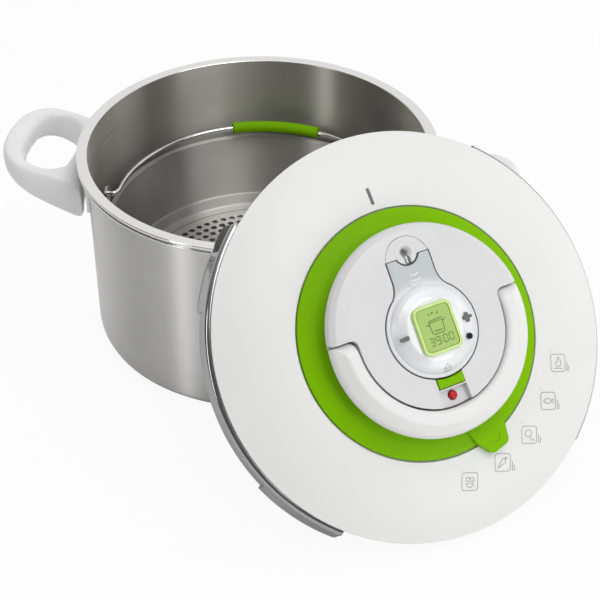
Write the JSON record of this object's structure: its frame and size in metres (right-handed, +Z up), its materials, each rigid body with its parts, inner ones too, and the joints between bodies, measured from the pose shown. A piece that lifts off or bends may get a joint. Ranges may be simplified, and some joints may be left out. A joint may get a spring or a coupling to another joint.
{
  "type": "pressure cooker",
  "caption": "Stovetop pressure cooker: steel pot with side handles, steaming basket with bail, and a leaning lid with clamping jaws, folding handle, selector ring and timer.",
  "frame": {"origin": "middle of the pot's underside, on the surface it stands on", "axes": "+Z up along the pot's axis, X along the line through the two side handles, the lid leaning on the rim towards +X and -Y"},
  "size_m": [0.4193, 0.3686, 0.1979],
  "materials": {
    "brushed_steel": "brushed",
    "polished_steel": "polished",
    "base_aluminium": "plain",
    "white_plastic": "satin",
    "green_plastic": "satin",
    "silver_plastic": "satin",
    "grey_plastic": "matte",
    "display": "clear window",
    "red_plastic": "gloss",
    "black_plastic": "gloss",
    "seal_rubber": "matte"
  },
  "bodies": {
    "pot": {"pot_body": "brushed_steel", "base_core": "base_aluminium", "base_cap": "brushed_steel", "right_grip": "white_plastic", "right_grip_bracket": "polished_steel", "right_grip_screw": "polished_steel", "left_grip": "white_plastic", "left_grip_bracket": "polished_steel", "left_grip_screw": "polished_steel"},
    "basket": {"trivet": "brushed_steel", "basket_wall": "brushed_steel", "basket_floor": "brushed_steel", "bail_lug_right": "polished_steel", "bail_lug_left": "polished_steel"},
    "bail": {"bail_wire": "polished_steel", "bail_grip": "green_plastic"},
    "lid": {"lid_plate": "brushed_steel", "lid_seal": "seal_rubber", "lid_cover": "white_plastic", "control_hub": "white_plastic", "module_nut": "grey_plastic", "valve_shroud": "white_plastic", "valve_pipe": "polished_steel", "safety_valve": "polished_steel", "release_spring": "polished_steel"},
    "selector": {"selector_ring": "green_plastic"},
    "handle": {"fold_handle": "white_plastic", "handle_pin_right": "polished_steel", "handle_pin_left": "polished_steel", "jaw_barrel_right": "grey_plastic", "jaw_barrel_left": "grey_plastic"},
    "right_jaw": {"jaw_right": "polished_steel", "jaw_arm_right": "polished_steel"},
    "left_jaw": {"jaw_left": "polished_steel", "jaw_arm_left": "polished_steel"},
    "timer": {"timer_case": "silver_plastic", "display_bezel": "green_plastic", "display_lens": "display", "status_lens": "black_plastic"},
    "plus": {"plus_key": "grey_plastic"},
    "minus": {"minus_key": "grey_plastic"},
    "valve": {"operating_valve": "white_plastic"},
    "indicator": {"pressure_indicator": "red_plastic"},
    "release": {"release_button": "green_plastic"}
  },
  "joints": [
    {"name": "basket_lift", "type": "slide", "parent": "pot", "child": "basket", "axis": [0, 0, 1], "range_m": [0, 0.06]},
    {"name": "bail_swing", "type": "hinge", "parent": "basket", "child": "bail", "pos_m": [0, 0, 0.0971], "axis": [1, 0, 0], "range_deg": [0, 180]},
    {"name": "lid_lift", "type": "slide", "parent": "pot", "child": "lid", "axis": [0, 0, 1], "range_m": [0, 0.15]},
    {"name": "handle_fold", "type": "hinge", "parent": "lid", "child": "handle", "pos_m": [0.1248, -0.15868, 0.11924], "axis": [-0.8392, -0.5419, -0.0452], "range_deg": [0, 85]},
    {"name": "right_jaw_slide", "type": "slide", "parent": "lid", "child": "right_jaw", "axis": [0.8392, 0.5419, 0.0452], "range_m": [0, 0.006]},
    {"name": "left_jaw_slide", "type": "slide", "parent": "lid", "child": "left_jaw", "axis": [-0.8392, -0.5419, -0.0452], "range_m": [0, 0.006]},
    {"name": "selector_turn", "type": "hinge", "parent": "lid", "child": "selector", "pos_m": [0.11916, -0.1491, 0.10916], "axis": [0.376, -0.6383, 0.6717], "range_deg": [-15, 45]},
    {"name": "timer_lift", "type": "slide", "parent": "lid", "child": "timer", "axis": [0.376, -0.6383, 0.6717], "range_m": [0, 0.02]},
    {"name": "plus_press", "type": "slide", "parent": "timer", "child": "plus", "axis": [-0.376, 0.6383, -0.6717], "range_m": [0, 0.0006], "stiffness_N_per_m": 300},
    {"name": "minus_press", "type": "slide", "parent": "timer", "child": "minus", "axis": [-0.376, 0.6383, -0.6717], "range_m": [0, 0.0006], "stiffness_N_per_m": 300},
    {"name": "valve_turn", "type": "hinge", "parent": "lid", "child": "valve", "pos_m": [0.10832, -0.13667, 0.16129], "axis": [0.376, -0.6383, 0.6717], "range_deg": [0, 90]},
    {"name": "indicator_rise", "type": "slide", "parent": "lid", "child": "indicator", "axis": [0.376, -0.6383, 0.6717], "range_m": [0, 0.004]},
    {"name": "release_press", "type": "slide", "parent": "lid", "child": "release", "axis": [-0.376, 0.6383, -0.6717], "range_m": [0, 0.002], "stiffness_N_per_m": 400}
  ],
  "couplings": [
    {"joint": "right_jaw_slide", "follows": "handle_fold", "m_per_rad": 0.00404},
    {"joint": "left_jaw_slide", "follows": "handle_fold", "m_per_rad": 0.00404}
  ]
}
